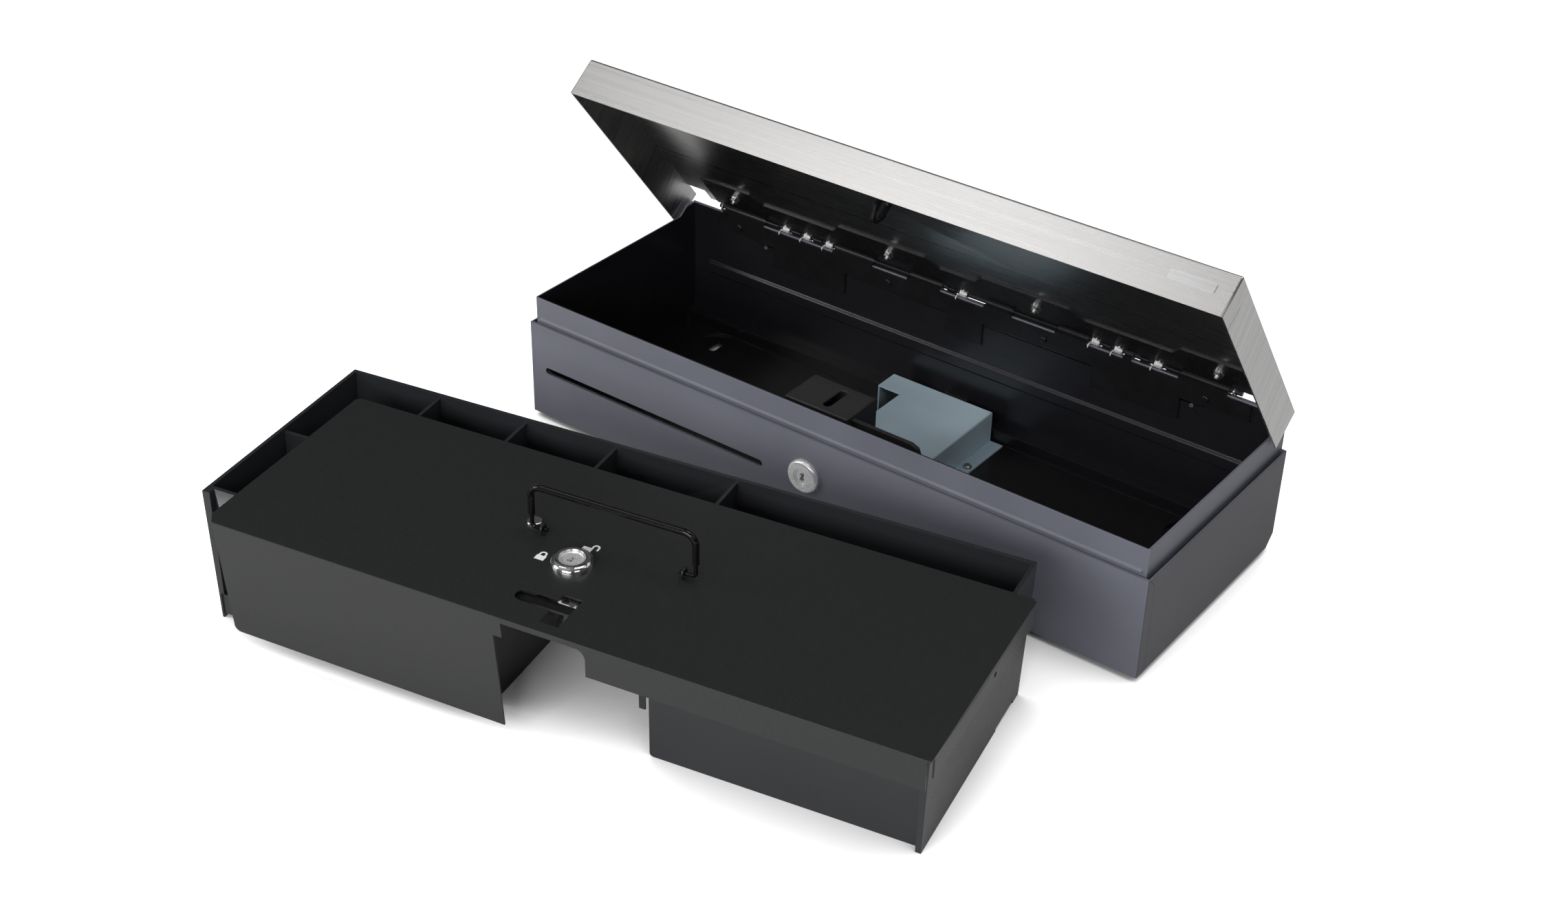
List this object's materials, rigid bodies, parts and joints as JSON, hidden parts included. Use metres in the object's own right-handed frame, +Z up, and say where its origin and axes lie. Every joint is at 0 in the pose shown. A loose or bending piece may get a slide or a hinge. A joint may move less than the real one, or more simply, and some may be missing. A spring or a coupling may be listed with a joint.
{
  "type": "cash drawer",
  "caption": "Flip-lid cash drawer with a steel casing, spring-hinged stainless lid, latch and key lock, and a lift-out till with a lockable steel lid and bail handle.",
  "frame": {"origin": "centre of the casing's footprint, on the counter under its rubber feet", "axes": "+X along the drawer to the user's right, +Y towards its back where the lid is hinged, +Z up"},
  "size_m": [0.4832, 0.4723, 0.2341],
  "materials": {
    "casing_paint": "satin powder coat",
    "tub_paint": "satin powder coat",
    "rubber": "moulded",
    "zinc_steel": "zinc plated",
    "chrome": "polished",
    "satin_nickel": "nickel plated, satin",
    "spring_steel": "bright drawn",
    "black_steel": "black finish",
    "black_plastic": "moulded, fine texture",
    "button_plastic": "moulded",
    "coil_tape": "taped winding",
    "cover_paint": "smooth light coat",
    "board_green": "solder mask",
    "white_nylon": "moulded",
    "stainless": "brushed along its length",
    "badge_metal": "blank plate",
    "till_abs": "moulded, fine grain",
    "till_lid_paint": "fine textured powder coat",
    "handle_black": "dipped"
  },
  "bodies": {
    "casing": {"inner_tub": "tub_paint", "front_panel": "casing_paint", "left_side_panel": "casing_paint", "right_side_panel": "casing_paint", "rear_panel": "casing_paint", "rubber_feet": "rubber", "casing_screws": "zinc_steel", "front_lock_barrel": "satin_nickel", "front_lock_nut": "zinc_steel", "latch_housing": "black_plastic", "latch_pivot_pin": "zinc_steel", "solenoid_frame": "zinc_steel", "solenoid_coil": "coil_tape", "micro_switch": "black_plastic", "mechanism_cover": "cover_paint", "cover_screws": "zinc_steel", "interface_board": "board_green", "board_spacers": "white_nylon", "cable_socket": "black_plastic", "wiring_loom": "black_plastic", "hinge_rod": "black_steel", "hinge_base_leaf": "black_steel", "base_leaf_rivets": "black_steel", "hinge_springs": "spring_steel", "hinge_clips": "zinc_steel"},
    "lid": {"lid_leaf": "black_steel", "lid_leaf_studs": "zinc_steel", "lid_leaf_nuts": "zinc_steel", "lid_shell": "stainless", "lid_striker": "black_steel", "striker_rivets": "zinc_steel", "lid_badge": "badge_metal"},
    "front_lock": {"front_lock_plug": "satin_nickel", "front_lock_cam": "zinc_steel", "front_cam_screw": "zinc_steel"},
    "hook": {"latch_hook": "zinc_steel"},
    "plunger": {"solenoid_plunger": "zinc_steel", "plunger_pin": "zinc_steel"},
    "switch_button": {"switch_button": "button_plastic"},
    "till": {"till_tray": "till_abs", "note_dividers": "till_abs", "note_spring": "zinc_steel"},
    "till_lid": {"till_lid_sheet": "till_lid_paint", "handle_eyes": "black_steel", "till_lock_barrel": "chrome", "till_lock_nut": "zinc_steel", "bolt_guides": "black_steel", "stop_screw": "zinc_steel", "locating_tab": "black_steel", "lid_rivet": "chrome"},
    "till_handle": {"handle_wire": "handle_black", "handle_sleeve": "handle_black"},
    "till_lock": {"till_lock_plug": "satin_nickel", "till_lock_cam": "zinc_steel"},
    "till_bolt": {"till_lock_bolt": "black_steel"}
  },
  "joints": [
    {"name": "lid_hinge", "type": "hinge", "parent": "casing", "child": "lid", "pos_m": [0, 0.0865, 0.0978], "axis": [-1, 0, 0], "range_deg": [-52.2, 0], "stiffness_Nm_per_rad": 0.95, "springref_deg": 60.16},
    {"name": "front_lock_turn", "type": "hinge", "parent": "casing", "child": "front_lock", "pos_m": [-0.005, -0.07, 0.0445], "axis": [0, 1, 0], "range_deg": [-90, 90]},
    {"name": "hook_pivot", "type": "hinge", "parent": "casing", "child": "hook", "pos_m": [-0.022, -0.0504, 0.05], "axis": [0, -1, 0], "range_deg": [-16, 0]},
    {"name": "plunger_slide", "type": "slide", "parent": "casing", "child": "plunger", "axis": [1, 0, 0], "range_m": [-0.0047, 0]},
    {"name": "switch_press", "type": "slide", "parent": "casing", "child": "switch_button", "axis": [0, 0, -1], "range_m": [0, 0.001], "stiffness_N_per_m": 60, "springref_m": -0.002},
    {"name": "till_lift", "type": "slide", "parent": "casing", "child": "till", "axis": [0, 0, 1], "range_m": [0, 0.26]},
    {"name": "till_lid_lift", "type": "slide", "parent": "till", "child": "till_lid", "axis": [0, 0, 1], "range_m": [0, 0.12]},
    {"name": "handle_fold", "type": "hinge", "parent": "till_lid", "child": "till_handle", "pos_m": [-0.00052, -0.2675, 0.0924], "axis": [-0.9819, -0.1896, 0], "range_deg": [0, 81]},
    {"name": "till_lock_turn", "type": "hinge", "parent": "till_lid", "child": "till_lock", "pos_m": [-0.01238, -0.2873, 0.0886], "axis": [0, 0, -1], "range_deg": [0, 90]},
    {"name": "bolt_slide", "type": "slide", "parent": "till_lid", "child": "till_bolt", "axis": [-0.9819, -0.1896, 0], "range_m": [0, 0.01]}
  ],
  "couplings": [
    {"joint": "hook_pivot", "follows": "plunger_slide", "rad_per_m": 58.824},
    {"joint": "bolt_slide", "follows": "till_lock_turn", "m_per_rad": 0.006366}
  ]
}
